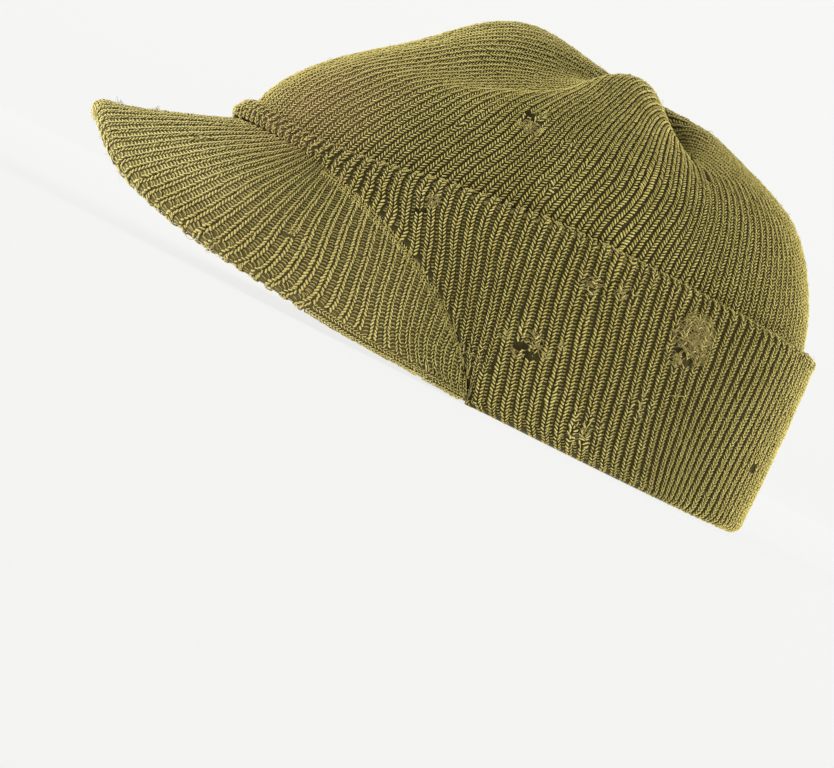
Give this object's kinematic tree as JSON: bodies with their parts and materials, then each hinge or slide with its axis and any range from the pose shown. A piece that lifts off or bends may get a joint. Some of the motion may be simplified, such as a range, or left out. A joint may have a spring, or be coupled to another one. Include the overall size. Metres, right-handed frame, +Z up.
{
  "type": "ribbed knit cap with a turned-up cuff and a short visor",
  "caption": "Ribbed wool knit cap with a lobed, darted crown, a double turned-up cuff and a short knit-covered visor, standing on its rim.",
  "frame": {"origin": "on the surface the cap stands on, below the middle of its outline", "axes": "+Z up through the crown, -Y forwards past the visor, +X towards the wearer's left"},
  "size_m": [0.1748, 0.25, 0.1201],
  "materials": {
    "crown_knit": "olive drab wool, 1x1 rib, worn and slightly fuzzy, brownish stain at the front",
    "cuff_knit": "olive drab wool, 1x1 rib, darned in places, fuzzy at its edges",
    "visor_knit": "olive drab wool, 1x1 rib drawn over the visor, fuzzy at its outer edge"
  },
  "bodies": {
    "root": {"crown": "crown_knit", "cuff": "cuff_knit", "visor": "visor_knit"}
  },
  "joints": []
}
